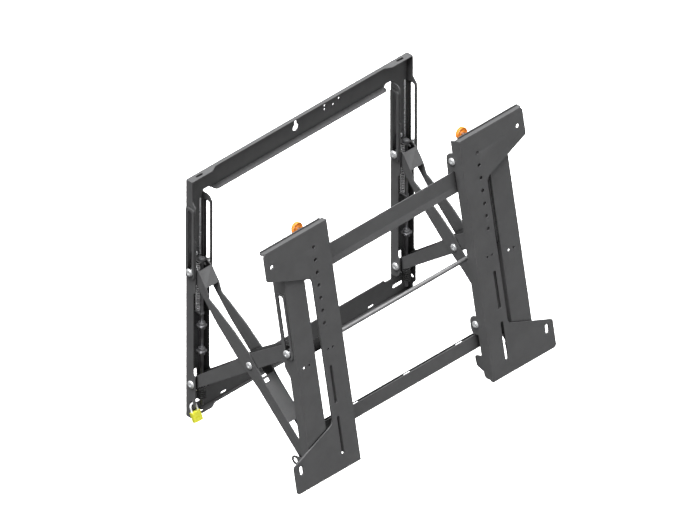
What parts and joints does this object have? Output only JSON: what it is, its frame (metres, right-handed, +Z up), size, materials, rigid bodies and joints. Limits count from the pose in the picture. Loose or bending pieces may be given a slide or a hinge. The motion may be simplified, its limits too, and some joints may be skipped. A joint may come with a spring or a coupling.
{
  "type": "pop-out video wall mount",
  "caption": "Pop-out wall mount for a video wall display: a wall frame, paired scissor arms, a tilting display frame, sliding brackets with knobs, latches and a padlock.",
  "frame": {"origin": "centre of the wall frame on the wall's surface", "axes": "+X to the right for someone who faces the mount, +Y into the wall, +Z up; the display comes out along -Y"},
  "size_m": [0.632, 0.3199, 0.5],
  "materials": {
    "frame_steel": "anthracite powder coat, fine texture, satin",
    "bolt_chrome": "bright plated, domed heads with a recess",
    "latch_steel": "dark zinc plated",
    "spring_steel": "plain spring wire",
    "bar_zinc": "drawn round bar, satin",
    "screw_zinc": "bluish zinc plated",
    "black_rubber": "moulded, matte",
    "bush_plastic": "matte",
    "knob_orange": "moulded, satin",
    "lock_yellow": "enamelled, glossy",
    "lock_brass": "turned",
    "shackle_steel": "polished"
  },
  "bodies": {
    "wall_frame": {"wall_upright_left": "frame_steel", "wall_upright_right": "frame_steel", "wall_top_rail": "frame_steel", "wall_bottom_rail": "frame_steel", "latch_guides": "frame_steel", "guide_screws": "bolt_chrome", "latch_boots": "black_rubber", "latch_spring_left": "spring_steel", "latch_spring_right": "spring_steel"},
    "latch_left": {"latch_rod_left": "latch_steel", "latch_catches_left": "latch_steel"},
    "latch_right": {"latch_rod_right": "latch_steel", "latch_catches_right": "latch_steel"},
    "shackle": {"padlock_shackle": "shackle_steel"},
    "lock": {"padlock_body": "lock_yellow"},
    "key_plug": {"padlock_key_plug": "lock_brass"},
    "inner_arms": {"inner_arm_left": "frame_steel", "inner_arm_right": "frame_steel", "wall_pivot_bolts": "bolt_chrome", "wall_pivot_bushes": "bush_plastic", "cross_pivot_bolts": "bolt_chrome", "display_slide_bolts": "bolt_chrome", "display_slide_bushes": "bush_plastic"},
    "outer_arms": {"outer_arm_left": "frame_steel", "outer_arm_right": "frame_steel", "wall_slide_bolts": "bolt_chrome", "wall_slide_washers": "bush_plastic", "display_pivot_bolts": "bolt_chrome", "display_pivot_bushes": "bush_plastic"},
    "display_frame": {"display_upright_left": "frame_steel", "display_upright_right": "frame_steel", "display_upper_rail": "frame_steel", "display_lower_rail": "frame_steel", "round_bar": "bar_zinc", "round_bar_nuts": "bolt_chrome", "round_bar_sleeves": "black_rubber"},
    "bracket_left_set": {"bracket_left": "frame_steel", "bracket_stiffener_left": "frame_steel", "bracket_bolts_left": "bolt_chrome", "knob_screw_left": "screw_zinc"},
    "bracket_right_set": {"bracket_right": "frame_steel", "bracket_stiffener_right": "frame_steel", "bracket_bolts_right": "bolt_chrome", "knob_screw_right": "screw_zinc"},
    "knob_left_turn": {"knob_left": "knob_orange"},
    "knob_right_turn": {"knob_right": "knob_orange"}
  },
  "joints": [
    {"name": "pop_out", "type": "hinge", "parent": "wall_frame", "child": "inner_arms", "pos_m": [0, -0.0128, -0.1777], "axis": [-1, 0, 0], "range_deg": [0, 46.7]},
    {"name": "arm_cross", "type": "hinge", "parent": "inner_arms", "child": "outer_arms", "pos_m": [0, -0.1513, -0.0705], "axis": [1, 0, 0], "range_deg": [0, 88.2]},
    {"name": "display_tilt", "type": "hinge", "parent": "outer_arms", "child": "display_frame", "pos_m": [0, -0.29125, -0.20196], "axis": [-1, 0, 0], "range_deg": [0, 32.4]},
    {"name": "bracket_left_slide", "type": "slide", "parent": "display_frame", "child": "bracket_left_set", "axis": [1, 0, 0], "range_m": [0, 0.1]},
    {"name": "bracket_right_slide", "type": "slide", "parent": "display_frame", "child": "bracket_right_set", "axis": [-1, 0, 0], "range_m": [0, 0.1]},
    {"name": "knob_left_spin", "type": "hinge", "parent": "bracket_left_set", "child": "knob_left_turn", "pos_m": [-0.201, -0.2056, 0.21342], "axis": [0, -0.9839, 0.1788], "continuous": true},
    {"name": "knob_right_spin", "type": "hinge", "parent": "bracket_right_set", "child": "knob_right_turn", "pos_m": [0.201, -0.2056, 0.21342], "axis": [0, -0.9839, 0.1788], "continuous": true},
    {"name": "latch_left", "type": "slide", "parent": "wall_frame", "child": "latch_left", "axis": [0, 0, 1], "range_m": [0, 0.008], "stiffness_N_per_m": 300, "springref_m": -0.01, "deforming": ["latch_spring_left"]},
    {"name": "latch_right", "type": "slide", "parent": "wall_frame", "child": "latch_right", "axis": [0, 0, 1], "range_m": [0, 0.008], "stiffness_N_per_m": 300, "springref_m": -0.01, "deforming": ["latch_spring_right"]},
    {"name": "shackle_swing", "type": "hinge", "parent": "wall_frame", "child": "shackle", "pos_m": [-0.269, -0.014, -0.216], "axis": [-1, 0, 0], "range_deg": [0, 45]},
    {"name": "lock_release", "type": "slide", "parent": "shackle", "child": "lock", "axis": [0, -0.4179, -0.9085], "range_m": [0, 0.005]},
    {"name": "key_turn", "type": "hinge", "parent": "lock", "child": "key_plug", "pos_m": [-0.269, -0.014, -0.216], "axis": [0, -0.4179, -0.9085], "range_deg": [0, 90]}
  ],
  "couplings": [
    {"joint": "arm_cross", "follows": "pop_out", "ratio": 1.8865},
    {"joint": "display_tilt", "follows": "pop_out", "ratio": 0.6915}
  ]
}
